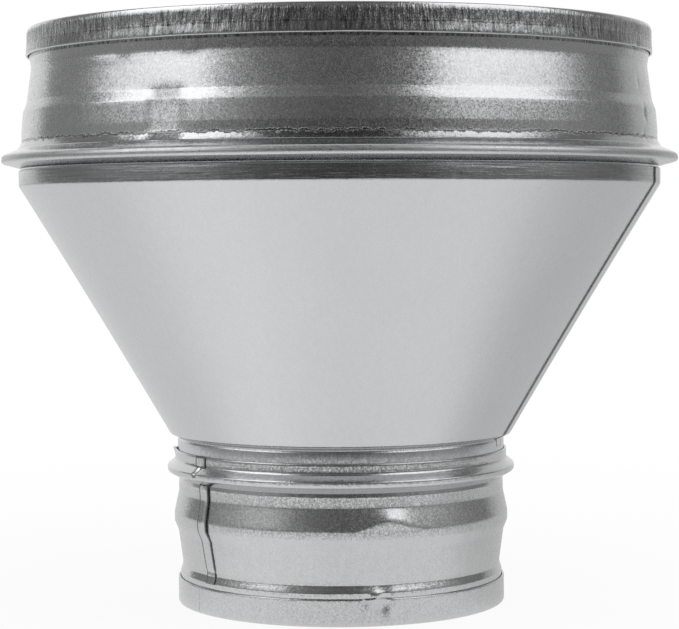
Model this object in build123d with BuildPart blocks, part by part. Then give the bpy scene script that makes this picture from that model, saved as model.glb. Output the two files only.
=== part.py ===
from build123d import *
import os
from math import atan, cos, degrees, radians, sin

# A duct reducer in galvanised sheet, standing on its small end. Sizes are in millimetres.
# The origin is the centre of the lower edge, and +Z runs up the axis of the duct.
# A radius named "outside" is taken on the sheet's outer face, as calipers would read it.
# Azimuths are in degrees from the front (-Y), growing towards the right (+X).

# Sheet
sheet = 0.5
mid = sheet / 2                  # from a face of the sheet to its middle line
plies = sheet + 0.06             # from ply to ply in a closed hem
fit_gap = 0.005                  # between two sheets that lie against each other

# Large collar, for a duct of nominal 150 mm
top = 133.2
large_hem_outside = 72.5
large_hem_edge_z = 127.0
large_groove_outside = 71.52
large_groove_z = 124.3
large_taper_outside = 72.65
large_taper_end_z = 116.3
large_step_outside = 73.55
large_step_end_z = 114.0
large_ring_outside = 73.9
large_ring_top_z = 110.6
large_ring_end_z = 106.8
large_bead_outside = 78.57
large_bead_nose_z = (102.7, 104.0)
large_bead_top_root_z = 105.4
large_bead_low_root_z = 101.55
large_tail_end_z = 98.3

# Cone, with a straight neck at each end
upper_neck_outside = 74.64
upper_neck_top_z = 100.9
shoulder_z = 97.36
foot_outside = 41.3
foot_z = 41.5
lower_neck_outside = 38.15
lower_neck_top_z = 38.6
lower_neck_seam_z = 36.3         # the neck's lap is pressed flat below this, inside the rim
neck_end = 39.75                 # radius of the neck's rolled-out end, held in the small bead

# Small collar, for a duct of nominal 80 mm
small_hem_outside = 38.45
small_hem_edge_z = 5.94
small_groove_outside = 37.38
small_groove_z = 9.2
small_taper_outside = 38.36
small_taper_end_z = 17.0
small_ring_outside = 39.25
small_ring_z = (19.2, 21.2)
small_wall_outside = 38.2
small_wall_start_z = 26.0
small_bead_low_root_z = 29.51
small_bead_outside = 40.82
small_bead_nose_z = (31.14, 32.05)
small_bead_top_root_z = 33.57
rim_outside = 39.0
rim_top_z = 36.0

# Lap seams: the azimuth of one edge, and the width round the sheet
small_lap_azimuth = -59.1
small_lap_width = 4.8
cone_lap_azimuth = 70.3
cone_lap_width = 4.6
large_lap_azimuth = 62.5
large_lap_width = 9.0
large_lap_drop = 1.0             # from the top edge down to the start of the lap behind the wall

# Where the two ends of a hem's outer ply meet
split_width = 0.3
split_depth = (sheet + plies) / 2    # through the outer ply, and half way to the inner one
split_rest = 1.0                 # left whole next to the fold
small_split_azimuth = -58.2
large_split_azimuth = 64.7

# Spot welds down the large collar's lap: height, and the wall's outside radius there
weld_spots = ((107.4, 73.9), (113.3, 73.62), (119.2, 72.24))
weld_floor_radius = 1.0
weld_mouth_radius = 1.7
weld_depth = 0.16
weld_reach = 0.4                 # from the floor of a weld's hollow to past the wall


def radial_plane(azimuth):
    """The half plane through the axis at an azimuth, with x outwards and y up."""
    outwards = Vector(sin(radians(azimuth)), -cos(radians(azimuth)), 0)
    return Plane(origin=(0, 0, 0), x_dir=outwards, z_dir=outwards.cross(Vector(0, 0, 1)))


def turn_for(width, radius):
    """The angle that a width takes up round a circle."""
    return degrees(width / radius)


def under_flank_z(radius):
    """Height at which a second sheet lies under the upper flank of the small bead."""
    fall = (small_bead_top_root_z - small_bead_nose_z[1]) / (small_bead_outside - rim_outside)
    drop = (sheet + fit_gap) / cos(atan(fall))
    return small_bead_top_root_z - (radius - rim_outside + mid) * fall - drop


def large_wall(start, shift=0):
    """The large collar's middle line from its hem to its ring, moved out by a shift."""
    face = shift - mid
    return Polyline(
        start,
        (large_hem_outside + face - plies, large_hem_edge_z),
        (large_groove_outside + face, large_groove_z),
        (large_taper_outside + face, large_taper_end_z),
        (large_step_outside + face, large_step_end_z),
        (large_ring_outside + face, large_ring_top_z),
        (large_ring_outside + face, large_ring_end_z),
    )


def cone_wall(shift=0):
    """The cone's middle line from its upper edge to the rim of the small collar."""
    face = shift - mid
    return Polyline(
        (upper_neck_outside + face, upper_neck_top_z),
        (upper_neck_outside + face, shoulder_z),
        (foot_outside + face, foot_z),
        (lower_neck_outside + face, lower_neck_top_z),
        (lower_neck_outside + face, lower_neck_seam_z),
    )


def small_wall(shift=0):
    """The small collar's middle line from its hem's edge to its rim."""
    face = shift - mid
    return Polyline(
        (small_hem_outside + face - plies, small_hem_edge_z),
        (small_groove_outside + face, small_groove_z),
        (small_taper_outside + face, small_taper_end_z),
        (small_ring_outside + face, small_ring_z[0]),
        (small_ring_outside + face, small_ring_z[1]),
        (small_wall_outside + face, small_wall_start_z),
        (small_wall_outside + face, small_bead_low_root_z),
        (small_bead_outside + face, small_bead_nose_z[0]),
        (small_bead_outside + face, small_bead_nose_z[1]),
        (rim_outside + face, small_bead_top_root_z),
        (rim_outside + face, rim_top_z),
    )


with BuildPart() as large_collar:
    # One line of sheet: the hem's outer ply, its fold, the wall, the bead and the tail
    with BuildSketch(Plane.XZ):
        with BuildLine():
            Polyline(
                (large_hem_outside - mid, large_hem_edge_z),
                (large_hem_outside - mid, top - mid),
                (large_hem_outside - mid - plies, top - mid),
            )
            large_line = large_wall((large_hem_outside - mid - plies, top - mid))
            Polyline(
                large_line @ 1,
                (large_ring_outside - mid, large_bead_top_root_z),
                (large_bead_outside - mid, large_bead_nose_z[1]),
                (large_bead_outside - mid, large_bead_nose_z[0]),
                (upper_neck_outside - sheet - mid, large_bead_low_root_z),
                (upper_neck_outside - sheet - mid, large_tail_end_z),
            )
        trace(line_width=sheet)
    revolve(axis=Axis.Z)

    # The inner end of the sheet, lapped behind the outer one
    with BuildSketch(radial_plane(large_lap_azimuth)):
        with BuildLine():
            large_wall((large_hem_outside - mid - plies - sheet, top - large_lap_drop), -sheet)
        trace(line_width=sheet)
    revolve(axis=Axis.Z, revolution_arc=turn_for(large_lap_width, large_ring_outside))

    # The two ends of the hem's outer ply meet with a thin gap
    large_split_height = top - large_hem_edge_z - split_rest
    with BuildSketch(radial_plane(large_split_azimuth)):
        with Locations((large_hem_outside, large_hem_edge_z)):
            Rectangle(2 * split_depth, 2 * large_split_height)
    extrude(amount=split_width / 2, both=True, mode=Mode.SUBTRACT)

    # Spot welds, pressed in from outside
    weld_azimuth = large_lap_azimuth + turn_for(large_lap_width, large_ring_outside) / 2
    outwards = radial_plane(weld_azimuth).x_dir
    for weld_z, wall_outside in weld_spots:
        floor = outwards * (wall_outside - weld_depth) + Vector(0, 0, weld_z)
        with Locations(Plane(origin=floor, z_dir=outwards)):
            Cone(
                weld_floor_radius,
                weld_mouth_radius,
                weld_reach,
                align=(Align.CENTER, Align.CENTER, Align.MIN),
                mode=Mode.SUBTRACT,
            )


with BuildPart() as cone:
    # The lower neck goes down inside the rim and rolls out under the bead
    with BuildSketch(Plane.XZ):
        with BuildLine():
            cone_line = cone_wall()
            Polyline(
                cone_line @ 1,
                (lower_neck_outside - mid, under_flank_z(lower_neck_outside - mid)),
                (neck_end, under_flank_z(neck_end)),
            )
        trace(line_width=sheet)
    revolve(axis=Axis.Z)

    # The outer end of the sheet, lapped over the inner one
    with BuildSketch(radial_plane(cone_lap_azimuth)):
        with BuildLine():
            cone_wall(sheet)
        trace(line_width=sheet)
    revolve(axis=Axis.Z, revolution_arc=turn_for(cone_lap_width, upper_neck_outside))


with BuildPart() as small_collar:
    # One line of sheet: the hem's outer ply, its fold, the wall, the bead and the rim
    with BuildSketch(Plane.XZ):
        with BuildLine():
            Polyline(
                (small_hem_outside - mid, small_hem_edge_z),
                (small_hem_outside - mid, mid),
                (small_hem_outside - mid - plies, mid),
                (small_hem_outside - mid - plies, small_hem_edge_z),
            )
            small_wall()
        trace(line_width=sheet)
    revolve(axis=Axis.Z)

    # The outer end of the sheet, lapped over the inner one from the hem to the rim
    with BuildSketch(radial_plane(small_lap_azimuth)):
        with BuildLine():
            small_wall(sheet)
        trace(line_width=sheet)
    revolve(axis=Axis.Z, revolution_arc=turn_for(small_lap_width, small_wall_outside))

    # The two ends of the hem's outer ply meet with a thin gap
    small_split_height = small_hem_edge_z - split_rest
    with BuildSketch(radial_plane(small_split_azimuth)):
        with Locations((small_hem_outside, small_hem_edge_z)):
            Rectangle(2 * split_depth, 2 * small_split_height)
    extrude(amount=split_width / 2, both=True, mode=Mode.SUBTRACT)


os.makedirs("parts", exist_ok=True)
large_collar.part.label = "large_collar"
cone.part.label = "cone"
small_collar.part.label = "small_collar"
export_step(large_collar.part, "parts/large_collar.step")
export_step(cone.part, "parts/cone.step")
export_step(small_collar.part, "parts/small_collar.step")
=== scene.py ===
import math

import bpy
import numpy as np
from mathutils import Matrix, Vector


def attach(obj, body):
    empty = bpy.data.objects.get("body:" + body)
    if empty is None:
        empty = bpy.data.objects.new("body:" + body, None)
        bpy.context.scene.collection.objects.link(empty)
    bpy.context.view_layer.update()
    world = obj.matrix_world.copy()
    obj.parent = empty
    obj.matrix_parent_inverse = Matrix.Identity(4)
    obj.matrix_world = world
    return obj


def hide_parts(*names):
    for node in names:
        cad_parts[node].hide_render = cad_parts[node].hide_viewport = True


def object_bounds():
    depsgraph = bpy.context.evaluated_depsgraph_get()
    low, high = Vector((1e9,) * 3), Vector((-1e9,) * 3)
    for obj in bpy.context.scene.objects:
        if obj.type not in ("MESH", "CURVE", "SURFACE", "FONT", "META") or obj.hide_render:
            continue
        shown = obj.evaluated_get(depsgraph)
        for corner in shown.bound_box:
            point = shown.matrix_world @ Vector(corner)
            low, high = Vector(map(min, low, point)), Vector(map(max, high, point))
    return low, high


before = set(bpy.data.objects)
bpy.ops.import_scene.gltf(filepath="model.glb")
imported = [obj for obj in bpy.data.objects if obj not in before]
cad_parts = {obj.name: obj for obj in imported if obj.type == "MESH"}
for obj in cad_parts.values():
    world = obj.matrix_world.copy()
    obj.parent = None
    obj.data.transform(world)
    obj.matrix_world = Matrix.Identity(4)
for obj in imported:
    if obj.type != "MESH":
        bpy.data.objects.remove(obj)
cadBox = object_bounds()

# A duct reducer in galvanised sheet: a large collar, a cone, and a small collar.
# Lengths here are in millimetres, a radius is that of the sheet's outer face, and azimuths are in
# degrees from the front (-Y), growing towards the right (+X).
mm = 0.001
sheet = 0.5
plies = 0.56                     # from ply to ply in a closed hem
cutRound = 0.28                  # how far from its cut edge the sheet starts to get thinner
# The reach of bare steel at a cut edge is also that of the painted shade along a lap's crease
reachOfSteelAndCreaseShade, cutSoft = 0.26, 0.1     # how far bare steel shows at a cut edge, and its soft border


# Shapes


# A smooth bump: exp(-x^2), with x counted in widths from the centre
def bell(value, centre, width):
    return np.exp(-((value - centre) / width) ** 2)


# 0 below low, 1 above high, and 3x^2 - 2x^3 between them
def ramp(value, low, high):
    share = np.clip((value - low) / (high - low), 0, 1)
    return share * share * (3 - 2 * share)


# 1 between low and high, falling to 0 over soft on both sides
def window(value, low, high, soft):
    return ramp(value, low - soft, low) * (1 - ramp(value, high, high + soft))


# Degrees from centre to azimuth, the short way round
def turned(azimuth, centre):
    return (azimuth - centre + 180) % 360 - 180


# A dent or, with a negative depth, a bump: the depth times one bell round the sheet and one up it
def dented(azimuth, height, dent):
    across = turned(azimuth, dent["azimuth"]) / dent["turn"]
    up = (height - dent["height"]) / dent["tall"]
    return -dent["depth"] * np.exp(-across ** 2 - up ** 2)


# How far to move the sheet so that near an azimuth its wall takes another line of radii. The move
# is averaged over count steps of height, so that it starts and ends softly.
def reshaped(azimuth, height, usual, other, step=0.1, count=17, beyond=3):
    low, high = other["heights"][0], other["heights"][-1]
    up = np.arange(low - beyond, high + beyond, step)
    inside = (up >= low) & (up <= high)
    move = np.where(inside, np.interp(up, other["heights"], other["radii"]) - usual(up), 0)
    weights = np.hanning(count)
    move = np.convolve(move, weights / weights.sum(), "same")
    share = window(turned(azimuth, other["azimuth"]), -other["turn"], other["turn"], other["soft"])
    return share * np.interp(height, up, move)


# Waves that run round the duct and climb it: a size in millimetres times a mean of count cosines.
# Each cosine's turns, climb, phase and share of the mean are drawn from the seed.
def ripples(azimuth, height, waves):
    luck = np.random.default_rng(waves["seed"])
    count, climb = waves["count"], waves.get("climb", 0.0)
    turns = luck.integers(*waves["turns"], count)
    climbs = luck.uniform(-climb, climb, count)
    phases = luck.uniform(0, 2 * math.pi, count)
    sizes = luck.uniform(0.3, 1, count) / np.sqrt(turns)
    total = 0
    for turn, rise, phase, size in zip(turns, climbs, phases, sizes):
        total = total + size * np.cos(np.radians(azimuth) * turn + height * rise + phase)
    return waves["size"] * total / sizes.sum()


# Straight runs joined by arcs tangent to both, with points at most a step apart
def roundedLine(corners, radii, step=1.0, turnStep=12):
    corners = np.array(corners, float)
    points = [corners[:1]]
    for before, corner, after, radius in zip(corners, corners[1:], corners[2:], radii):
        wayIn = (corner - before) / np.linalg.norm(corner - before)
        wayOut = (after - corner) / np.linalg.norm(after - corner)
        turn = math.atan2(wayIn[0] * wayOut[1] - wayIn[1] * wayOut[0], wayIn @ wayOut)
        side = np.array([-wayIn[1], wayIn[0]]) * math.copysign(1, turn)
        start = corner - wayIn * radius * math.tan(abs(turn) / 2)
        count = max(3, math.ceil(math.degrees(abs(turn)) / turnStep) + 1)
        angle = np.linspace(0, abs(turn), count)[:, None]
        points.append(start + radius * (np.sin(angle) * wayIn + (1 - np.cos(angle)) * side))
    points = np.concatenate(points + [corners[-1:]])
    runs = np.linalg.norm(np.diff(points, axis=0), axis=1)
    along = np.concatenate([[0], np.cumsum(runs)])
    parts = np.maximum(1, np.ceil(runs / step)).astype(int)
    places = [np.linspace(a, b, n, endpoint=False) for a, b, n in zip(along, along[1:], parts)]
    places = np.concatenate(places + [along[-1:]])
    return np.stack([np.interp(places, along, points[:, k]) for k in (0, 1)], axis=1)


# Length along a line up to each of its points
def lengths(line):
    return np.concatenate([[0], np.cumsum(np.linalg.norm(np.diff(line, axis=0), axis=1))])


# Adds points close to both ends of a line, where the sheet's cut edge is rounded
def withEnds(line, count=5):
    along = lengths(line)
    close = cutRound * np.linspace(0, 1, count + 1)[1:] ** 2
    places = np.union1d(along, np.concatenate([close, along[-1] - close]))
    return np.stack([np.interp(places, along, line[:, k]) for k in (0, 1)], axis=1)


# Share of the sheet's thickness at a distance from its cut edge: a quarter ellipse
def roundedEdge(distance, least=0.15):
    inward = np.clip(1 - distance / cutRound, 0, 1)
    return least + (1 - least) * np.sqrt(1 - inward ** 2)


# Columns round the duct, one step apart from the start, and closer in each crowd (from, to, step)
def columnsFrom(start, step, crowds=()):
    columns = [np.arange(0, 360 - 1e-6, step)]
    for low, high, fine in crowds:
        columns.append((np.arange(low, high, fine) - start) % 360)
    return start + np.unique(np.round(np.concatenate(columns), 3))


# Columns across a strip of sheet: distances from its cut edge, closer together near that edge and
# over the last run, where the strip dives into the wall
def columnsAcross(width, count=16, reach=0.2, run=1.0):
    close = reach * np.linspace(0, 1, 5)[:-1] ** 2
    columns = np.union1d(close, np.linspace(reach, width - run - 0.1, count))
    return np.union1d(columns, np.linspace(width - run, width, 11))


# The four corners of each face in a grid of point numbers
def gridQuads(index):
    corners = [index[:-1, :-1], index[1:, :-1], index[1:, 1:], index[:-1, 1:]]
    return np.stack(corners, axis=-1).reshape(-1, 4)


# Bends a sheet round the duct as a closed shell. The middle line (radius, height) is carried over
# the columns; every point is moved by push, which gives millimetres out and up, and then by half
# the sheet's thickness along the line's normal, to the outer face and back along the inner one.
# On a strip a column is a distance from its cut edge, which place turns into an azimuth. A strip's
# edges are marked as bare steel, and the crease before its far side, where it dives into the wall,
# gets the same mark as painted shade.
def shellOf(line, columns, push, place=None, crease=0.7, creaseFrom=0.04):
    slope = np.gradient(line, axis=0)
    slope /= np.linalg.norm(slope, axis=1)[:, None]
    normal = np.stack([-slope[:, 1], slope[:, 0]], axis=1)
    if normal[len(normal) // 2, 0] < 0:
        normal = -normal
    along = lengths(line)
    toEnd = np.minimum(along, along[-1] - along)
    column, height = np.meshgrid(columns, line[:, 1], indexing="ij")
    half = np.tile(sheet / 2 * roundedEdge(toEnd), (len(columns), 1))
    toCut = np.tile(toEnd, (len(columns), 1))
    azimuth = column
    if place:
        azimuth = place(column, line[:, 0] + 0 * column, height)
        toSide = column - columns[0]
        half = half * roundedEdge(toSide)
        toCut = np.minimum(toCut, toSide)
        # The crease before the far side gets the cut edge's mark as painted shade in it
        toCut = np.minimum(toCut, abs(columns[-1] - crease - column) + creaseFrom)
    steelAndCreaseShade = np.clip((reachOfSteelAndCreaseShade - toCut) / cutSoft, 0, 1) if place else 0 * toCut
    out, lift = push(azimuth, height, along[None, :] + 0 * column, column)
    faces = [(line[:, 0] + out + side * half * normal[:, 0],
              line[:, 1] + lift + side * half * normal[:, 1]) for side in (1, -1)]
    radius = np.concatenate([faces[0][0], faces[1][0][:, ::-1]], axis=1)
    height = np.concatenate([faces[0][1], faces[1][1][:, ::-1]], axis=1)
    angle = np.radians(np.concatenate([azimuth, azimuth[:, ::-1]], axis=1))
    points = np.stack([radius * np.sin(angle), -radius * np.cos(angle), height], axis=-1)
    rows = radius.shape[1]
    index = np.arange(radius.size).reshape(radius.shape)
    if not place:
        index = np.concatenate([index, index[:1]])
    around = np.concatenate([index, index[:, :1]], axis=1)
    quads = [gridQuads(around)]
    if place:
        for side, turn in ((index[0], 1), (index[-1], -1)):
            front, back = side[:rows // 2], side[rows // 2:][::-1]
            cap = np.stack([front[:-1], front[1:], back[1:], back[:-1]], axis=-1)
            quads.append(cap[:, ::turn])
    steelAndCreaseShade = np.concatenate([steelAndCreaseShade, steelAndCreaseShade[:, ::-1]], axis=1).ravel()
    return points.reshape(-1, 3) * mm, np.concatenate(quads), steelAndCreaseShade


# Turns every face over if the shell's signed volume says that it is inside out
def outward(points, quads):
    a, b, c, d = (points[quads[:, k]] for k in range(4))
    volume = (np.cross(a, b) * c).sum() + (np.cross(a, c) * d).sum()
    return quads if volume > 0 else quads[:, ::-1]


# Makes one mesh of points and quads, and can keep a value for each point under an attribute's name
def makeMesh(name, points, quads, attribute="", values=None):
    mesh = bpy.data.meshes.new(name)
    mesh.vertices.add(len(points))
    mesh.vertices.foreach_set("co", points.astype(np.float32).ravel())
    mesh.loops.add(quads.size)
    mesh.loops.foreach_set("vertex_index", quads.astype(np.int32).ravel())
    mesh.polygons.add(len(quads))
    mesh.polygons.foreach_set("loop_start", np.arange(0, quads.size, 4, dtype=np.int32))
    mesh.polygons.foreach_set("use_smooth", np.ones(len(quads), bool))
    mesh.update(calc_edges=True)
    if attribute:
        kept = mesh.attributes.new(attribute, "FLOAT", "POINT")
        kept.data.foreach_set("value", values.astype(np.float32))
    mesh.validate()
    made = bpy.data.objects.new(name, mesh)
    bpy.context.scene.collection.objects.link(made)
    return made


# Joins shells into one object at the origin, which stands for a node of the frame
def makePiece(name, shells, node, material):
    start, allPoints, allQuads = 0, [], []
    for points, quads, steelAndCreaseShade in shells:
        allQuads.append(outward(points, quads) + start)
        allPoints.append(points)
        start += len(points)
    quads = np.concatenate(allQuads)
    steelAndCreaseShade = np.concatenate([shell[2] for shell in shells])
    piece = makeMesh(name, np.concatenate(allPoints), quads, "bareEdgeAndCreaseShade", steelAndCreaseShade)
    piece.data.materials.append(material)
    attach(piece, "root")
    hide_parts(node)
    print(f"{name}: {2 * len(quads)} triangles")
    return piece


# Materials


# A shader node group with named inputs (name, kind, default) and outputs (name, kind)
def newGroup(name, inputs, outputs):
    group = bpy.data.node_groups.new(name, "ShaderNodeTree")
    for socketName, kind, value in inputs:
        made = group.interface.new_socket(socketName, in_out="INPUT", socket_type=kind)
        made.default_value = value
    for socketName, kind in outputs:
        group.interface.new_socket(socketName, in_out="OUTPUT", socket_type=kind)
    return group, group.nodes.new("NodeGroupInput"), group.nodes.new("NodeGroupOutput")


# A node with its settings and inputs, where an input is a value or another node's socket
def addNode(tree, kind, inputs=None, **settings):
    node = tree.nodes.new(kind)
    for key, value in settings.items():
        setattr(node, key, value)
    for key, value in (inputs or {}).items():
        if isinstance(value, bpy.types.NodeSocket):
            tree.links.new(value, node.inputs[key])
        else:
            node.inputs[key].default_value = value
    return node


# The result of a Math node on values or sockets
def calc(tree, operation, *values, clamp=False):
    inputs = dict(enumerate(values))
    return addNode(tree, "ShaderNodeMath", inputs, operation=operation, use_clamp=clamp).outputs[0]


# The result of a Vector Math node on vectors or sockets
def calcVector(tree, operation, *values):
    inputs = dict(enumerate(values))
    return addNode(tree, "ShaderNodeVectorMath", inputs, operation=operation).outputs[0]


# A value carried from one span to another, with an S curve unless it is to be straight
def spread(tree, value, low, high, toLow=0.0, toHigh=1.0, curve="SMOOTHSTEP"):
    inputs = {"Value": value, "From Min": low, "From Max": high, "To Min": toLow, "To Max": toHigh}
    node = addNode(tree, "ShaderNodeMapRange", inputs, interpolation_type=curve)
    return node.outputs["Result"]


# value where the mask is 0, and target where it is 1
def blendTo(tree, value, target, mask):
    mix = addNode(tree, "ShaderNodeMix", {"Factor": mask}, data_type="FLOAT")
    for key, item in (("A", value), ("B", target)):
        if isinstance(item, bpy.types.NodeSocket):
            tree.links.new(item, mix.inputs[key])
        else:
            mix.inputs[key].default_value = item
    return mix.outputs["Result"]


# Noise over Object coordinates, with its own scale along each axis
def noiseOver(tree, scale, detail, roughness=0.5):
    place = addNode(tree, "ShaderNodeTexCoord").outputs["Object"]
    scaled = addNode(tree, "ShaderNodeMapping", {"Vector": place, "Scale": scale}).outputs[0]
    settings = {"Vector": scaled, "Scale": 1.0, "Detail": detail, "Roughness": roughness}
    return addNode(tree, "ShaderNodeTexNoise", settings).outputs["Fac"]


# The grain has two sizes of crystal, as shares, and a power that spreads how dull they are; a drawn
# and a cloudy noise, and the drawn one's share. A band has scales for its ragged border, lines and
# strokes; its lines are stretched along a flank that goes out by 1 and up by 1.7.
zinc = {
    "crystalShares": (1.0, 0.6), "dullPower": 0.6,
    "drawn": (900, 900, 130), "cloud": (70, 70, 50), "drawnShare": 0.6,
    "border": (500, 500, 500), "lines": 70.0, "lineStretch": 40.0, "flank": 1.7,
    "strokes": (1500, 1500, 260), "cutRough": 0.25, "leastRough": 0.06, "bump": 0.01,
}


# Zinc grain: crystals that each lean their own way and shine more or less, over a cloudy tone.
# Normal = the surface's normal plus a random vector for each cell, Dull = a random share to a power
def makeGrainGroup(look):
    group, source, result = newGroup(
        "zincGrain",
        [("Crystals", "NodeSocketFloat", 3000.0), ("Lean", "NodeSocketFloat", 0.05)],
        [("Normal", "NodeSocketVector"), ("Dull", "NodeSocketFloat"),
         ("Cloud", "NodeSocketFloat")])
    place = addNode(group, "ShaderNodeTexCoord").outputs["Object"]
    leans = (0.0, 0.0, 0.0)
    for share in look["crystalShares"]:
        scale = calc(group, "MULTIPLY", source.outputs["Crystals"], share)
        cells = addNode(group, "ShaderNodeTexVoronoi", {"Vector": place, "Scale": scale})
        lean = calcVector(group, "SUBTRACT", cells.outputs["Color"], (0.5, 0.5, 0.5))
        leans = calcVector(group, "MULTIPLY_ADD", lean, (share, share, share), leans)
        if share == 1.0:
            luck = addNode(group, "ShaderNodeSeparateColor", {"Color": cells.outputs["Color"]})
            dull = calc(group, "POWER", luck.outputs["Blue"], look["dullPower"])
            group.links.new(dull, result.inputs["Dull"])
    lean = addNode(group, "ShaderNodeVectorMath", {0: leans, "Scale": source.outputs["Lean"]},
                   operation="SCALE").outputs[0]
    straight = addNode(group, "ShaderNodeNewGeometry").outputs["Normal"]
    leaning = calcVector(group, "NORMALIZE", calcVector(group, "ADD", straight, lean))
    group.links.new(leaning, result.inputs["Normal"])
    cloud = calc(group, "MULTIPLY", noiseOver(group, look["cloud"], 3), 1 - look["drawnShare"])
    drawn = noiseOver(group, look["drawn"], 3)
    tone = calc(group, "MULTIPLY_ADD", drawn, look["drawnShare"], cloud)
    group.links.new(tone, result.inputs["Cloud"])
    return group


# A band of the sheet, between two heights, with a ragged border, for worked marks and for painted
# shade. Lines runs round the duct and Strokes up it, both from 0 to 1.
def makeBandGroup(look):
    group, source, result = newGroup(
        "bandMarksAndShade",
        [("Low", "NodeSocketFloat", 0.0), ("High", "NodeSocketFloat", 0.1),
         ("Soft", "NodeSocketFloat", 0.001), ("Ragged", "NodeSocketFloat", 0.0)],
        [("Mask", "NodeSocketFloat"), ("Lines", "NodeSocketFloat"),
         ("Strokes", "NodeSocketFloat")])
    place = addNode(group, "ShaderNodeTexCoord").outputs["Object"]
    parts = addNode(group, "ShaderNodeSeparateXYZ", {"Vector": place}).outputs
    radius = calc(group, "SQRT", calc(group, "MULTIPLY_ADD", parts["X"], parts["X"],
                                      calc(group, "MULTIPLY", parts["Y"], parts["Y"])))
    uneven = calc(group, "SUBTRACT", noiseOver(group, look["border"], 4, 0.7), 0.5)
    up = calc(group, "MULTIPLY_ADD", uneven, source.outputs["Ragged"], parts["Z"])
    below = calc(group, "SUBTRACT", up, source.outputs["Low"])
    above = calc(group, "SUBTRACT", source.outputs["High"], up)
    inside = calc(group, "DIVIDE", calc(group, "MINIMUM", below, above), source.outputs["Soft"])
    group.links.new(calc(group, "ADD", inside, 0.5, clamp=True), result.inputs["Mask"])
    across = calc(group, "MULTIPLY_ADD", radius, -look["flank"], parts["Z"])
    across = calc(group, "MULTIPLY", across, look["lineStretch"])
    stretched = addNode(group, "ShaderNodeCombineXYZ",
                        {"X": parts["X"], "Y": parts["Y"], "Z": across}).outputs[0]
    settings = {"Vector": stretched, "Scale": look["lines"], "Detail": 3, "Roughness": 0.6}
    lines = addNode(group, "ShaderNodeTexNoise", settings).outputs["Fac"]
    group.links.new(lines, result.inputs["Lines"])
    strokes = noiseOver(group, look["strokes"], 3, 0.6)
    strokes = spread(group, strokes, 0.3, 0.7, curve="LINEAR")
    group.links.new(strokes, result.inputs["Strokes"])
    return group


# A new material and its empty tree
def newMaterial(name):
    material = bpy.data.materials.new(name)
    material.use_nodes = True
    material.node_tree.nodes.clear()
    return material, material.node_tree


# Galvanised sheet: bright grey metal with crystals, bands of marks and of painted shade, darker
# steel at a cut edge, and painted shade along a lap's crease
def makeZinc(name, finish, look, groups):
    material, tree = newMaterial(name)
    grain = addNode(tree, "ShaderNodeGroup", node_tree=groups["grain"])
    grain.inputs["Crystals"].default_value = 1 / (finish["crystal"] * mm)
    grain.inputs["Lean"].default_value = finish["lean"]
    grain = grain.outputs
    cloud = spread(tree, grain["Cloud"], 0.3, 0.7, curve="LINEAR")
    rough = spread(tree, cloud, 0, 1, *finish["rough"], curve="LINEAR")
    rough = calc(tree, "MULTIPLY_ADD", grain["Dull"], finish["dull"], rough)
    tone = spread(tree, cloud, 0, 1, 1 - finish["cloud"], 1, curve="LINEAR")
    metal = calc(tree, "MULTIPLY_ADD", grain["Dull"], -finish["oxide"], 1.0)
    height = calc(tree, "MULTIPLY", cloud, finish["uneven"])
    for band in finish["bands"]:
        worked = addNode(tree, "ShaderNodeGroup", node_tree=groups["band"])
        for key in ("low", "high", "soft", "ragged"):
            worked.inputs[key.capitalize()].default_value = band.get(key, 0.5) * mm
        worked = worked.outputs
        mask = worked["Mask"]
        marks = calc(tree, "MULTIPLY", worked["Lines"], band.get("lines", 0.0))
        marks = calc(tree, "MULTIPLY_ADD", worked["Strokes"], band.get("strokes", 0.0), marks)
        height = calc(tree, "MULTIPLY_ADD", marks, mask, height)
        rough = calc(tree, "MULTIPLY_ADD", mask, band.get("rough", 0.0), rough)
        # Darker lines and strokes in the band, which in some bands are painted shade
        marks = calc(tree, "MULTIPLY", worked["Lines"], band.get("dark", 0.0))
        marks = calc(tree, "MULTIPLY_ADD", worked["Strokes"], band.get("stainAndShade", 0.0), marks)
        tone = calc(tree, "SUBTRACT", tone, calc(tree, "MULTIPLY", marks, mask))
    # Darker bare steel at a strip's cut edges, and painted shade along its crease
    steelAndCreaseShade = addNode(tree, "ShaderNodeAttribute", attribute_name="bareEdgeAndCreaseShade").outputs["Fac"]
    tone = blendTo(tree, tone, finish["toneOfSteelAndCreaseShade"], steelAndCreaseShade)
    rough = calc(tree, "MULTIPLY_ADD", steelAndCreaseShade, look["cutRough"], rough)
    rough = calc(tree, "MAXIMUM", rough, look["leastRough"])
    colour = addNode(tree, "ShaderNodeMix", {"Factor": tone}, data_type="RGBA")
    colour.inputs["A"].default_value = (0, 0, 0, 1)
    colour.inputs["B"].default_value = (*finish["colour"], 1)
    bump = addNode(tree, "ShaderNodeBump", {"Height": height, "Distance": look["bump"] * mm,
                                            "Strength": 1.0, "Normal": grain["Normal"]})
    shader = addNode(tree, "ShaderNodeBsdfPrincipled", {
        "Base Color": colour.outputs["Result"],
        "Roughness": rough,
        "Metallic": metal,
        "Normal": bump.outputs["Normal"],
    })
    end = addNode(tree, "ShaderNodeOutputMaterial")
    tree.links.new(shader.outputs["BSDF"], end.inputs["Surface"])
    return material


# Large collar

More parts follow.
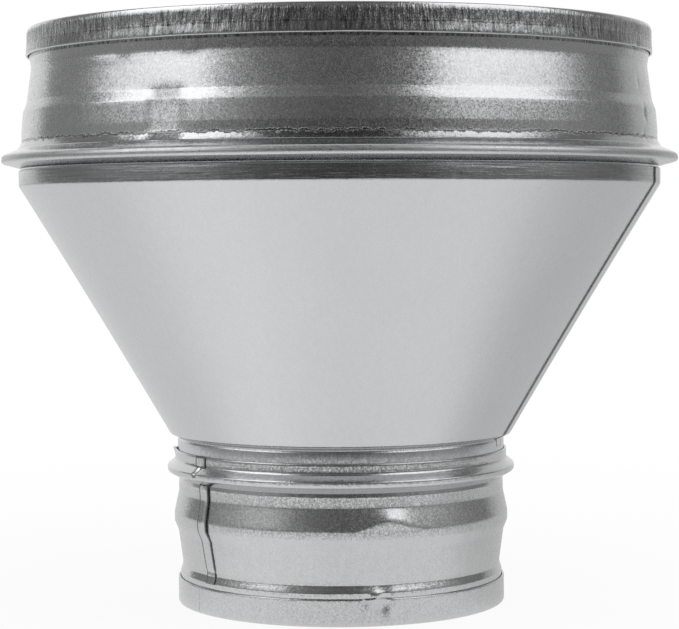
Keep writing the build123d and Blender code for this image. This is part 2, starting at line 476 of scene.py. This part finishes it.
largeCollar = {
    "top": 133.2, "hem": 72.52, "hemEdge": 127.0, "crown": 1.2,
    "hemFlare": 0.24, "flareHeights": (126.4, 130.4),
    "groove": (71.52, 124.3), "taper": (72.65, 116.3), "step": (73.5, 114.1),
    "ring": 73.9, "ringTop": 109.6, "bead": 78.57, "beadNose": (102.7, 104.0),
    "fillet": ((73.9, 107.3), (74.95, 105.5)), "beadLowRoot": 101.55,
    "tail": 74.14, "tailEnd": 98.3,
    # Radii of the wall's bends, from the end of the hem down to the tail
    "bends": (1.5, 2.5, 1.0, 1.4, 3.0, 0.5, 1.0, 1.05, 0.55, 0.5),
    "lap": 62.5, "lapWidth": 9.0, "lapTop": 132.2, "lapEnd": 106.8, "lapGap": 0.03, "lapDive": 1.2,
    # The hem's own length, and the narrow gap where its two ends meet
    "hemLength": 6.2, "split": {"azimuth": 64.7, "half": 0.1, "depth": 0.4},
    # How far the whole ring is out of round, how the wall is buckled, and how the cut edge wavers
    # out and up within a reach of it
    "roundness": {"size": 0.05, "count": 7, "seed": 11, "turns": (2, 9)},
    "buckle": {"size": 0.03, "count": 12, "seed": 14, "turns": (12, 40), "climb": 0.35},
    "waver": {"size": 0.05, "count": 12, "seed": 13, "turns": (8, 60)},
    "lift": {"size": 0.09, "count": 14, "seed": 12, "turns": (8, 90)},
    "waverReach": 2.5,
    "columnStep": 1.2, "crowds": [(-42, -18, 0.4), (60, 70, 0.25), (64.4, 65.0, 0.05)],
    # Where the step is flattened: the azimuth, the turn to each side, and the radii it has there
    "flat": {"azimuth": -29.2, "turn": 1.8, "soft": 3.1, "heights": (105.6, 107.2, 117.4),
             "radii": (73.9, 73.5, 72.49)},
    "dents": [
        {"azimuth": -48.0, "height": 123.3, "turn": 9.0, "tall": 0.8, "depth": -0.13},
        {"azimuth": -38.6, "height": 124.8, "turn": 1.6, "tall": 0.9, "depth": -0.14},
        {"azimuth": -25.2, "height": 124.8, "turn": 2.0, "tall": 0.9, "depth": -0.14},
        {"azimuth": 66.8, "height": 112.6, "turn": 0.8, "tall": 1.5, "depth": 0.30},
        {"azimuth": 64.7, "height": 127.6, "turn": 0.9, "tall": 1.2, "depth": 0.16},
        {"azimuth": 65.3, "height": 107.4, "turn": 0.8, "tall": 1.0, "depth": 0.16},
        {"azimuth": 66.0, "height": 119.2, "turn": 0.8, "tall": 1.0, "depth": 0.14},
    ],
}


# Middle line from the hem's cut edge, over the fold and down the wall to the tail's end
def largeLine(part):
    mid = sheet / 2
    fold = plies / 2
    skin = part["hem"] - mid
    crown = part["top"] - mid - part["crown"]
    angle = np.linspace(0, math.pi, 17)[:, None]
    bend = np.hstack([skin - fold + fold * np.cos(angle), crown + part["crown"] * np.sin(angle)])
    groove, taper, step = part["groove"], part["taper"], part["step"]
    ring, bead, tail = part["ring"] - mid, part["bead"] - mid, part["tail"] - mid
    wall = roundedLine(
        [bend[-1], (skin - plies, part["hemEdge"]), (groove[0] - mid, groove[1]),
         (taper[0] - mid, taper[1]), (step[0] - mid, step[1]), (ring, part["ringTop"]),
         (ring, part["fillet"][0][1]), (part["fillet"][1][0] - mid, part["fillet"][1][1]),
         (bead, part["beadNose"][1]), (bead, part["beadNose"][0]),
         (tail, part["beadLowRoot"]), (tail, part["tailEnd"])],
        part["bends"])
    skinRows = np.linspace(part["hemEdge"], crown, 9)[:-1, None]
    flared = 1 - ramp(skinRows, *part["flareHeights"])
    hem = np.hstack([skin + part["hemFlare"] * flared, skinRows])
    return withEnds(np.concatenate([hem, bend[:-1], wall]))


# The wall's outer radius at a height, without its dents
def largeWallAt(part, height):
    corners = [(part["ring"], part["ringTop"]), part["step"], part["taper"], part["groove"]]
    return np.interp(height, [z for _, z in corners], [r for r, _ in corners])


# How far a collar's whole sheet is off its line: out of round, buckled and dented
def worked(part, azimuth, height):
    out = ripples(azimuth, height, part["roundness"]) - part["roundness"]["size"]
    out = out + ripples(azimuth, height, part["buckle"])
    return out + sum(dented(azimuth, height, dent) for dent in part["dents"])


# How far a collar's sheet moves out and up on its hem. Along is the length from the cut edge, which
# wavers, and the sheet is pressed in at the split. The third result is the edge's share.
def hemMoves(part, azimuth, height, along):
    edge = np.clip(1 - along / part["waverReach"], 0, 1)
    split = part["split"]
    share = np.clip(1.5 - abs(turned(azimuth, split["azimuth"])) / split["half"], 0, 1)
    share = share * (along < part["hemLength"] - 1)
    out = ripples(azimuth, height, part["waver"]) * edge - split["depth"] * share
    return out, ripples(azimuth, height, part["lift"]) * edge, edge


# The ring of sheet with its hem, groove, step and bead, and the lapped end behind it
def makeLargeCollar(part, material):
    def pressed(azimuth, height):
        out = reshaped(azimuth, height, lambda up: largeWallAt(part, up), part["flat"])
        return out + worked(part, azimuth, height)

    def push(azimuth, height, along, column):
        out, lift, _ = hemMoves(part, azimuth, height, along)
        return pressed(azimuth, height) + out, lift

    # A strip behind the wall: its cut edge stands free, and its far side runs into the wall
    def place(column, radius, height):
        return part["lap"] + np.degrees(column / part["ring"])

    def pushLap(azimuth, height, along, column):
        dive = sheet * ramp(column, part["lapWidth"] - part["lapDive"], part["lapWidth"])
        return pressed(azimuth, height) + dive, 0 * height

    line = largeLine(part)
    columns = columnsFrom(part["lap"], part["columnStep"], part["crowds"])
    ring = shellOf(line, columns, push)
    overTheFold = int(np.argmax(line[:, 1])) + 9       # 8 points of the bend come after its crown
    wall = line[overTheFold:]
    wall = wall[(wall[:, 1] < part["lapTop"]) & (wall[:, 1] > part["lapEnd"])]
    wall = wall - [sheet + part["lapGap"], 0]
    lap = shellOf(withEnds(wall), columnsAcross(part["lapWidth"]), pushLap, place)
    return makePiece("largeCollarSheet", [ring, lap], "large_collar", material)


# Cone

cone = {
    "neck": 74.64, "neckTop": 100.9, "shoulder": 97.36,
    "foot": (40.3, 40.0), "lowNeck": (38.12, 38.95), "neckRing": (38.42, 38.25),
    "lowNeckEnd": 33.4, "rolledEnd": 39.6, "bow": 0.27,
    # Radii of the bends from the upper neck down, on the sheet and on its lap
    "bends": (1.4, 0.8, 0.4, 0.3, 0.6), "lapBends": (1.4, 0.8, 0.4), "step": 1.6,
    "roundness": {"size": 0.04, "count": 6, "seed": 21, "turns": (2, 9)},
    "buckle": {"size": 0.04, "count": 12, "seed": 22, "turns": (5, 24), "climb": 0.15},
    "lapTop": 70.4, "lapFoot": 68.4, "lapWidth": 4.4, "lapEnd": 37.0, "lapLift": 0.3,
    # The edge's gape and the reach of it, how deep and over what width the far side dives, and how
    # much further a point moves out on the flank to lie as far off it
    "lapGape": 0.03, "gapeReach": 1.0, "lapSink": 0.08, "lapDive": 0.6, "onFlank": 1.16,
    "columnStep": 1.2, "crowds": [(62, 80, 0.5)],
}


# Middle line from the upper neck's edge down the flank to the rolled-out lower end
def coneLine(part, end=None):
    mid = sheet / 2
    neck, low = part["neck"] - mid, part["lowNeck"][0] - mid
    corners = [(neck, part["neckTop"]), (neck, part["shoulder"]),
               (part["foot"][0] - mid, part["foot"][1]), (low, part["lowNeck"][1])]
    if end:
        return withEnds(roundedLine(corners + [(low, end)], part["lapBends"], part["step"]))
    ringOut = part["neckRing"][0] - mid
    corners += [(ringOut, part["neckRing"][1]), (ringOut, part["lowNeckEnd"]),
                (part["rolledEnd"] - mid, part["lowNeckEnd"] - 1.0)]
    return withEnds(roundedLine(corners, part["bends"], part["step"]))


# The flank with its two necks, bowed in a little, and the outer end of the sheet lapped over it
def makeCone(part, material):
    def pressed(azimuth, height):
        share = np.clip((height - part["foot"][1]) / (part["shoulder"] - part["foot"][1]), 0, 1)
        out = -part["bow"] * 4 * share * (1 - share)
        out = out + ripples(azimuth, height, part["roundness"]) - part["roundness"]["size"]
        return out + share * ripples(azimuth, height, part["buckle"])

    def push(azimuth, height, along, column):
        return pressed(azimuth, height), 0 * height

    # The strip keeps its width, so it takes up more of the turn near the foot
    def place(column, radius, height):
        span = (part["foot"][1], part["shoulder"])
        edge = np.interp(height, span, (part["lapFoot"], part["lapTop"]))
        return edge + np.degrees(column / radius)

    def pushLap(azimuth, height, along, column):
        flank = np.where(height > part["shoulder"] - 0.5, 1.0, part["onFlank"])
        lifted = part["lapLift"] + part["lapGape"] * bell(column, 0, part["gapeReach"])
        dive = ramp(column, part["lapWidth"] - part["lapDive"], part["lapWidth"])
        dive = (part["lapLift"] + part["lapSink"]) * part["onFlank"] * dive
        return pressed(azimuth, height) + lifted * flank - dive, 0 * height

    columns = columnsFrom(part["lapTop"], part["columnStep"], part["crowds"])
    ring = shellOf(coneLine(part), columns, push)
    lapLine = coneLine(part, part["lapEnd"])
    lap = shellOf(lapLine, columnsAcross(part["lapWidth"], 20), pushLap, place)
    return makePiece("coneSheet", [ring, lap], "cone", material)


# Small collar

smallCollar = {
    "hem": 38.45, "hemEdge": 6.1, "hemTop": 7.35,
    "grooveLow": (37.36, 8.9), "grooveTop": (37.41, 9.9),
    "taper": (38.36, 17.0), "ring": 39.25, "ringLow": 19.2, "ringTop": 21.2,
    "wall": 38.2, "wallStart": 26.0, "bead": 40.82, "beadNose": (31.14, 32.05),
    "beadLowRoot": 29.51, "beadTopRoot": 33.57, "rootGroove": (0.95, 0.13),
    "rim": 39.0, "rimTop": 36.0,
    # Radii of the wall's bends, from the end of the hem up to the rim
    "bends": (0.8, 0.8, 1.0, 2.5, 0.9, 3.0, 2.5, 0.6, 0.25, 0.4, 0.15, 1.1), "step": 0.8,
    "roundness": {"size": 0.05, "count": 7, "seed": 31, "turns": (2, 9)},
    "buckle": {"size": 0.02, "count": 12, "seed": 34, "turns": (8, 30), "climb": 0.35},
    "waver": {"size": 0.05, "count": 12, "seed": 33, "turns": (6, 50)},
    "lift": {"size": 0.07, "count": 12, "seed": 32, "turns": (6, 70)},
    "waverReach": 2.0,
    "columnStart": -50, "columnStep": 1.2,
    "crowds": [(-4, 32, 0.6), (-90, -80, 0.6), (-58.6, -52.4, 0.3), (-58.1, -57.1, 0.1)],
    # The lap's cut edge and its far side, as azimuths at two heights
    "lapHeights": (8.0, 30.0), "lapEdge": (-49.0, -51.4), "lapFar": (-54.6, -57.8),
    "lapWidth": 3.75, "lapLift": 0.3, "lapSink": 0.08, "lapDive": 0.5,
    "lapRows": (7.0, 29.6), "tabRows": (33.4, 37),      # the lap below the bead, and above it
    # How far the cut edge gapes all along, and more between two heights, and its creases
    "gape": 0.02, "gapeReach": 1.0, "wideGape": (0.22, 19.5, 28.5, 2.0),
    "creases": [(0.16, 9.9, 0.35), (0.10, 27.4, 0.3)],
    "hemLength": 6.1, "split": {"azimuth": -57.6, "half": 0.2, "depth": 0.4},
    # The rim's corner and a place on the hem's edge are pushed up: azimuth, width and rise
    "corner": (-85.6, 3.2, 0.35), "cornerHeights": (34.5, 36), "knockedUp": (11.4, 1.8, 0.25),
    # Where the ring's crest is pushed up: azimuths where this starts, is full, and ends
    "knock": {"turn": (4.0, 15.0, 29.0), "rise": 2.3},
    "dents": [
        # The hem is knocked in below it
        {"azimuth": 8.2, "height": 5.4, "turn": 1.0, "tall": 1.3, "depth": 0.22},
        {"azimuth": 11.4, "height": 6.4, "turn": 1.6, "tall": 1.2, "depth": -0.20},
        {"azimuth": 14.6, "height": 5.0, "turn": 1.8, "tall": 1.8, "depth": 0.34},
        {"azimuth": 17.6, "height": 4.4, "turn": 0.8, "tall": 1.2, "depth": -0.10},
        {"azimuth": 12.8, "height": 8.6, "turn": 4.0, "tall": 1.2, "depth": 0.22},
        # A pit beside the lap, and the rim's corner at the left
        {"azimuth": -54.4, "height": 32.6, "turn": 1.0, "tall": 0.7, "depth": 0.75},
        {"azimuth": -85.6, "height": 36.3, "turn": 3.2, "tall": 1.1, "depth": -0.62},
    ],
}


# Middle line from the hem's cut edge, under the fold and up the wall to the rim, or only the wall
# between two heights
def smallLine(part, start=None, end=None):
    mid = sheet / 2
    fold = plies / 2
    skin = part["hem"] - mid
    floor = mid + fold
    angle = np.linspace(0, math.pi, 13)[:, None]
    bend = np.hstack([skin - fold + fold * np.cos(angle), floor - fold * np.sin(angle)])
    ring, bead, rim, straight = (part[key] - mid for key in ("ring", "bead", "rim", "wall"))
    grooveTall, grooveDeep = part["rootGroove"]
    corners = [bend[-1], (skin - plies, part["hemTop"]),
               (part["grooveLow"][0] - mid, part["grooveLow"][1]),
               (part["grooveTop"][0] - mid, part["grooveTop"][1]),
               (part["taper"][0] - mid, part["taper"][1]), (ring, part["ringLow"]),
               (ring, part["ringTop"]), (straight, part["wallStart"]),
               (straight, part["beadLowRoot"] - grooveTall),
               (straight - grooveDeep, part["beadLowRoot"]), (bead, part["beadNose"][0]),
               (bead, part["beadNose"][1]), (rim, part["beadTopRoot"]), (rim, part["rimTop"])]
    wall = roundedLine(corners, part["bends"], part["step"])
    if start:
        return withEnds(wall[(wall[:, 1] > start) & (wall[:, 1] < end)])
    skinRows = np.linspace(part["hemEdge"], floor, 9)[:-1, None]
    hem = np.hstack([skin + 0 * skinRows, skinRows])
    return withEnds(np.concatenate([hem, bend[:-1], wall]))


# How far to move the wall out above the ring where its crest is pushed up: the difference between
# the usual fall, straight from the ring's top to the wall, and one that starts higher up
def smallCrest(part, azimuth, height):
    start, full, end = part["knock"]["turn"]
    higher = part["knock"]["rise"] * ramp(azimuth, start, full) * (1 - ramp(azimuth, full, end))
    fall = part["ring"] - part["wall"]
    up = height - part["ringTop"]
    tall = part["wallStart"] - part["ringTop"]
    usual = np.clip(up / tall, 0, 1)
    return fall * (usual - np.clip((up - higher) / (tall - higher), 0, 1))


# The ring of sheet with its hem, groove, ring, bead and rim, and its outer end lapped over it
def makeSmallCollar(part, material):
    lapWidth = part["lapWidth"]

    def pressed(azimuth, height):
        return smallCrest(part, azimuth, height) + worked(part, azimuth, height)

    def push(azimuth, height, along, column):
        out, lift, edge = hemMoves(part, azimuth, height, along)
        at, width, rise = part["corner"]
        near = bell(turned(azimuth, at), 0, width)
        lift = lift + rise * near * ramp(height, *part["cornerHeights"])
        at, width, rise = part["knockedUp"]
        lift = lift + rise * bell(azimuth, at, width) * edge
        return pressed(azimuth, height) + out, lift

    # Across the strip a column runs from the cut edge, on the right, to the far side
    def place(column, radius, height):
        edge = np.interp(height, part["lapHeights"], part["lapEdge"])
        far = np.interp(height, part["lapHeights"], part["lapFar"])
        return edge + (far - edge) * column / lapWidth

    # It stands out over the wall, gapes a little along its edge, and dives in at the far side
    def pushLap(azimuth, height, along, column):
        wide, low, high, soft = part["wideGape"]
        gape = part["gape"] + wide * window(height, low, high, soft)
        gape = gape * bell(column, 0, part["gapeReach"])
        crease = sum(deep * bell(height, at, tall) for deep, at, tall in part["creases"])
        dive = ramp(column, lapWidth - part["lapDive"], lapWidth)
        dive = (part["lapLift"] + part["lapSink"]) * dive
        return pressed(azimuth, height) + part["lapLift"] + gape - crease - dive, 0 * height

    columns = columnsFrom(part["columnStart"], part["columnStep"], part["crowds"])
    across = columnsAcross(lapWidth)
    ring = shellOf(smallLine(part), columns, push)
    lap = shellOf(smallLine(part, *part["lapRows"]), across, pushLap, place)
    tab = shellOf(smallLine(part, *part["tabRows"]), across, pushLap, place)
    return makePiece("smallCollarSheet", [ring, lap, tab], "small_collar",
                     material)


# Stage and light

stage = {
    "floorSize": 6.0, "floorWhite": 0.92,
    "glow": (0.93, 1.0), "glowReach": (0.10, 0.36),    # how white the floor is, near and away
    # The floor's tone as metal sees it: shares from one azimuth to the next, lower away from the
    # front left as a painted shadow of the object, and a fade from near to far in front and at the
    # sides
    "floorShadowRound": [(-180, 0.70), (-135, 0.72), (-84, 0.80), (-58, 0.95), (-38, 0.97), (0, 0.87),
                   (50, 0.88), (62, 0.82), (74, 0.70), (90, 0.62), (135, 0.57), (180, 0.62)],
    "floorNear": (0.20, 1.20), "floorFar": (0.46, 0.07, 0.30),   # reach and tones, in metres
    # Tones round the room, from one azimuth to the next
    "room": [(-180, 1.0), (-145, 1.0), (-135, 0.92), (-132, 0.28), (-105, 0.27), (-75, 0.38),
             (-52, 0.32), (-28, 0.11), (0, 0.06), (25, 0.09), (52, 0.26), (80, 0.32), (100, 0.25),
             (122, 0.20), (125, 0.46), (140, 0.62), (150, 0.76), (165, 0.9), (180, 1.0)],
    # Shares of that tone in front, from one rise to the next, and the span of Y where they end
    "front": [(0, 1.0), (5, 1.1), (12, 2.0), (18, 1.6), (24, 1.9), (30, 2.6), (46, 2.2),
              (56, 0.25), (90, 0.25)],
    "frontSpan": (-0.75, 0.0),
    # White overhead: the rises where it starts and is full, its tone, and the same span for it
    "overhead": (60, 76, 0.8), "overheadSpan": (-0.22, -0.04),
    "lamp": {"place": (0.2, -0.3, 1.4), "size": 1.0, "watts": 9},
    # Soft boxes, in metres and degrees: the level goes from low to high over levelTall
    "boxGrid": 60, "topSoft": 0.4, "levelTall": 0.6,
    "boxes": [
        {"name": "leftBox", "away": 0.75, "from": -92, "to": -44, "soft": (7, 6), "low": 0.29,
         "softLow": 0.06, "high": 1.5, "level": (1.85, 2.1)},
        {"name": "rightBox", "away": 0.75, "from": 33, "to": 88, "soft": (6, 10), "low": 0.29,
         "softLow": 0.05, "high": 1.5, "level": (1.7, 1.65)},
    ],
}


# A tone that runs straight from one place to the next: pairs of a place from 0 to 1 and a tone
def toneRamp(tree, value, tones):
    node = addNode(tree, "ShaderNodeValToRGB", {"Fac": value})
    places = node.color_ramp.elements
    for at, tone in tones[1:-1]:
        places.new(at).color = (tone, tone, tone, 1)
    for element, (_, tone) in ((places[0], tones[0]), (places[-1], tones[-1])):
        element.color = (tone, tone, tone, 1)
    return node.outputs["Color"]


# A tone ramp over the azimuth, which goes from -180 to 180: share = atan2(x, -y) / 360 + 0.5
def toneRound(tree, x, y, tones):
    azimuth = calc(tree, "ARCTAN2", x, calc(tree, "MULTIPLY", y, -1.0))
    share = calc(tree, "MULTIPLY_ADD", azimuth, 0.5 / math.pi, 0.5)
    return toneRamp(tree, share, [(at / 360 + 0.5, tone) for at, tone in tones])


# Ends a material with one shader where the share is 0 and another where it is 1
def mixInto(tree, share, first, second):
    shaders = {0: share, 1: first.outputs[0], 2: second.outputs[0]}
    mixed = addNode(tree, "ShaderNodeMixShader", shaders)
    end = addNode(tree, "ShaderNodeOutputMaterial")
    tree.links.new(mixed.outputs[0], end.inputs["Surface"])


# A wide white floor. The camera sees it white, with some shade left for the object's shadow. Metal
# sees a painted shadow of the object round it, darkest at the right and behind, and sees it fade
# out towards the front and the sides, where the table ends.
def makeFloor(values):
    half = values["floorSize"] / 2
    corners = np.array([(-half, -half, 0), (half, -half, 0), (half, half, 0), (-half, half, 0)])
    floor = makeMesh("floor", corners, np.array([[0, 1, 2, 3]]))
    material, tree = newMaterial("floorWhite")
    place = addNode(tree, "ShaderNodeTexCoord").outputs["Object"]
    parts = addNode(tree, "ShaderNodeSeparateXYZ", {"Vector": place}).outputs
    # Distance = length(x, min(y, 0)) - max(y, 0), and the far tone grows with (x / distance)^2
    across, inFront = parts["X"], calc(tree, "MINIMUM", parts["Y"], 0.0)
    squares = calc(tree, "MULTIPLY", across, across), calc(tree, "MULTIPLY", inFront, inFront)
    square = calc(tree, "ADD", *squares)
    behind = calc(tree, "MAXIMUM", parts["Y"], 0.0)
    reach = calc(tree, "SUBTRACT", calc(tree, "SQRT", square), behind)
    side = calc(tree, "DIVIDE", squares[0], square)
    far, frontTone, sideTone = values["floorFar"]
    farTone = blendTo(tree, frontTone, sideTone, side)
    near, nearTone = values["floorNear"]
    # Painted shadow of the object: the near tone is lower away from the front left
    around = toneRound(tree, across, parts["Y"], values["floorShadowRound"])
    nearTone = calc(tree, "MULTIPLY", around, nearTone)
    tone = blendTo(tree, nearTone, farTone, spread(tree, reach, near, far))
    path = addNode(tree, "ShaderNodeLightPath").outputs
    tone = blendTo(tree, tone, 1.0, path["Is Camera Ray"])
    seen = calc(tree, "MAXIMUM", path["Is Camera Ray"], path["Is Glossy Ray"])
    seen = calc(tree, "MAXIMUM", seen, path["Is Transmission Ray"])
    away = addNode(tree, "ShaderNodeVectorMath", {0: place}, operation="LENGTH").outputs["Value"]
    share = calc(tree, "MULTIPLY", seen, spread(tree, away, *values["glowReach"], *values["glow"]))
    paint = addNode(tree, "ShaderNodeBsdfDiffuse", {"Color": (*(values["floorWhite"],) * 3, 1)})
    glow = addNode(tree, "ShaderNodeEmission", {"Color": (1, 1, 1, 1), "Strength": tone})
    mixInto(tree, share, paint, glow)
    floor.data.materials.append(material)


# The room as metal sees it: a white backdrop behind, and a dim room in front. The tone is a ramp
# over the azimuth, changed in front by one over the rise = asin(z), with white overhead.
def makeWorld(values):
    world = bpy.data.worlds.new("studio")
    world.use_nodes = True
    bpy.context.scene.world = world
    tree = world.node_tree
    tree.nodes.clear()
    way = addNode(tree, "ShaderNodeTexCoord").outputs["Generated"]
    parts = addNode(tree, "ShaderNodeSeparateXYZ", {"Vector": way}).outputs
    rise = calc(tree, "DEGREES", calc(tree, "ARCSINE", parts["Z"]))
    light = toneRound(tree, parts["X"], parts["Y"], values["room"])
    climb = calc(tree, "DIVIDE", rise, 90.0)
    front = toneRamp(tree, climb, [(at / 90, tone) for at, tone in values["front"]])
    dimmed = calc(tree, "MULTIPLY", light, front)
    light = blendTo(tree, light, dimmed, spread(tree, parts["Y"], *values["frontSpan"], 1.0, 0.0))
    low, high, tone = values["overhead"]
    above = calc(tree, "MULTIPLY", spread(tree, rise, low, high),
                 spread(tree, parts["Y"], *values["overheadSpan"]))
    light = blendTo(tree, light, tone, above)
    camera = addNode(tree, "ShaderNodeLightPath").outputs["Is Camera Ray"]
    light = blendTo(tree, light, 1.0, camera)
    shine = addNode(tree, "ShaderNodeBackground", {"Color": (1, 1, 1, 1), "Strength": light})
    end = addNode(tree, "ShaderNodeOutputWorld")
    tree.links.new(shine.outputs[0], end.inputs["Surface"])


# A soft box: an upright screen bent round the object, that only the metal sees. Its points run
# over azimuth and height, and each has a strength that fades out towards the borders.
def makeSoftBox(box, values):
    soft, count = box["soft"], values["boxGrid"]
    turns = np.linspace(box["from"] - soft[0], box["to"] + soft[1], count)
    climb = (box["high"] - box["low"]) * np.linspace(0, 1, count) ** 2
    heights = box["low"] - box["softLow"] + climb
    turn, height = np.meshgrid(turns, heights, indexing="ij")
    angle = np.radians(turn)
    across, ahead = box["away"] * np.sin(angle), -box["away"] * np.cos(angle)
    points = np.stack([across, ahead, height], axis=-1).reshape(-1, 3)
    quads = gridQuads(np.arange(turn.size).reshape(turn.shape))
    fade = ramp(turn, box["from"] - soft[0], box["from"] + soft[0])
    fade = fade * (1 - ramp(turn, box["to"] - soft[1], box["to"] + soft[1]))
    fade = fade * ramp(height, box["low"] - box["softLow"], box["low"] + box["softLow"])
    fade = fade * (1 - ramp(height, box["high"] - values["topSoft"], box["high"]))
    screen = makeMesh(box["name"], points, quads, "fade", fade.ravel())
    material, tree = newMaterial(box["name"])
    place = addNode(tree, "ShaderNodeTexCoord").outputs["Object"]
    up = addNode(tree, "ShaderNodeSeparateXYZ", {"Vector": place}).outputs["Z"]
    top = box["low"] + values["levelTall"]
    level = spread(tree, up, box["low"], top, *box["level"], curve="LINEAR")
    glow = addNode(tree, "ShaderNodeEmission", {"Color": (1, 1, 1, 1), "Strength": level})
    clear = addNode(tree, "ShaderNodeBsdfTransparent")
    faded = addNode(tree, "ShaderNodeAttribute", attribute_name="fade").outputs["Fac"]
    mixInto(tree, faded, clear, glow)
    screen.data.materials.append(material)
    screen.visible_camera = False
    screen.visible_shadow = False
    screen.visible_diffuse = False


# A large soft lamp overhead, which gives the floor its shadow and isn't seen in the metal
def makeLamp(values):
    lamp = bpy.data.lights.new("skyLamp", "AREA")
    lamp.size = values["size"]
    lamp.energy = values["watts"]
    made = bpy.data.objects.new("skyLamp", lamp)
    made.location = values["place"]
    middle = (cadBox[0] + cadBox[1]) / 2
    made.rotation_euler = (middle - made.location).to_track_quat("-Z", "Y").to_euler()
    made.visible_glossy = False
    bpy.context.scene.collection.objects.link(made)


# The photograph's camera: a little above the middle of the object, looking down a little
def makeCamera(view):
    camera = bpy.data.cameras.new("camera")
    camera.lens = view["lens"]
    camera.sensor_width = view["sensor"]
    made = bpy.data.objects.new("camera", camera)
    made.location = (view["across"] * mm, -view["away"] * mm, view["height"] * mm)
    made.rotation_mode = "XYZ"
    made.rotation_euler = (math.pi / 2 - view["pitch"], 0, 0)
    made.rotation_euler.rotate_axis("Z", view["roll"])
    bpy.context.scene.collection.objects.link(made)
    bpy.context.scene.camera = made


photoView = {"lens": 112.70, "sensor": 36, "across": -0.165, "away": 500.6, "height": 89.3,
             "pitch": 0.0445, "roll": -0.0047}

# Finishes. Crystal is the crystals' size in millimetres, lean how far they tilt, dull how much
# rougher the dullest is, and oxide how much less metallic. Rough is the span of roughness over the
# clouds, cloud how much darker they are, uneven their height in the bump, and
# toneOfSteelAndCreaseShade the tone of bare steel at a cut edge and of the painted shade along a
# lap's crease. A band between two heights has lines and strokes as heights in the bump; dark and
# stain darken those lines and strokes, which in some bands is painted shade, and rough is added to
# the roughness.
collarFinish = {
    "colour": (0.555, 0.558, 0.566), "crystal": 0.24, "lean": 0.055, "dull": 0.24, "oxide": 0.06,
    "rough": (0.05, 0.09), "cloud": 0.04, "uneven": 0.4, "toneOfSteelAndCreaseShade": 0.6,
    "bands": [
        {"low": 132.3, "high": 133.5, "soft": 0.3, "ragged": 0.3, "rough": -0.12},
        {"low": 129.6, "high": 132.3, "soft": 0.8, "ragged": 1.2, "strokes": 12.0, "stainAndShade": 0.75},
        {"low": 127.45, "high": 129.6, "soft": 0.4, "ragged": 0.8, "strokes": 5.0, "stainAndShade": 0.75},
        # Painted shade: a broken dark line on the wall just under the hem's cut edge
        {"low": 126.4, "high": 126.95, "soft": 0.15, "ragged": 0.1, "stainAndShade": 0.9},
        {"low": 107.15, "high": 107.65, "soft": 0.1, "ragged": 2.4, "lines": 8.0, "dark": 1.1},
        # Painted shade: the fillet above the bead is darkened along its lines
        {"low": 104.2, "high": 107.3, "soft": 0.3, "ragged": 0.4, "lines": 2.0, "rough": -0.14,
         "dark": 0.3},
        {"low": 102.7, "high": 104.1, "soft": 0.2, "ragged": 0.2, "lines": 5.0, "rough": 0.18},
        {"low": 101.0, "high": 102.7, "soft": 0.2, "ragged": 0.4, "lines": 5.0},
    ],
}
coneFinish = {
    "colour": (0.575, 0.580, 0.590), "crystal": 0.22, "lean": 0.04, "dull": 0.12, "oxide": 0.02,
    "rough": (0.12, 0.18), "cloud": 0.06, "uneven": 0.4, "toneOfSteelAndCreaseShade": 0.5,
    "bands": [{"low": 97.3, "high": 101.2, "soft": 0.3, "ragged": 0.4, "lines": 7.0, "dark": 0.6}],
}
smallFinish = {
    "colour": (0.560, 0.563, 0.570), "crystal": 0.26, "lean": 0.055, "dull": 0.24, "oxide": 0.08,
    "rough": (0.07, 0.12), "cloud": 0.08, "uneven": 0.5, "toneOfSteelAndCreaseShade": 0.3,
    "bands": [
        {"low": 28.2, "high": 36.2, "soft": 0.4, "ragged": 0.6, "lines": 1.5, "rough": -0.08},
        {"low": 6.2, "high": 9.2, "soft": 0.4, "ragged": 0.6, "lines": 1.5, "rough": -0.08},
    ],
}

groups = {"grain": makeGrainGroup(zinc), "band": makeBandGroup(zinc)}
makeLargeCollar(largeCollar, makeZinc("collarZinc", collarFinish, zinc, groups))
makeCone(cone, makeZinc("coneZinc", coneFinish, zinc, groups))
makeSmallCollar(smallCollar, makeZinc("smallCollarZinc", smallFinish, zinc, groups))
print("pieces made")

makeFloor(stage)
makeWorld(stage)
for box in stage["boxes"]:
    makeSoftBox(box, stage)
makeLamp(stage["lamp"])
makeCamera(photoView)
bpy.context.scene.view_settings.view_transform = "Standard"
print("stage, light and camera made")
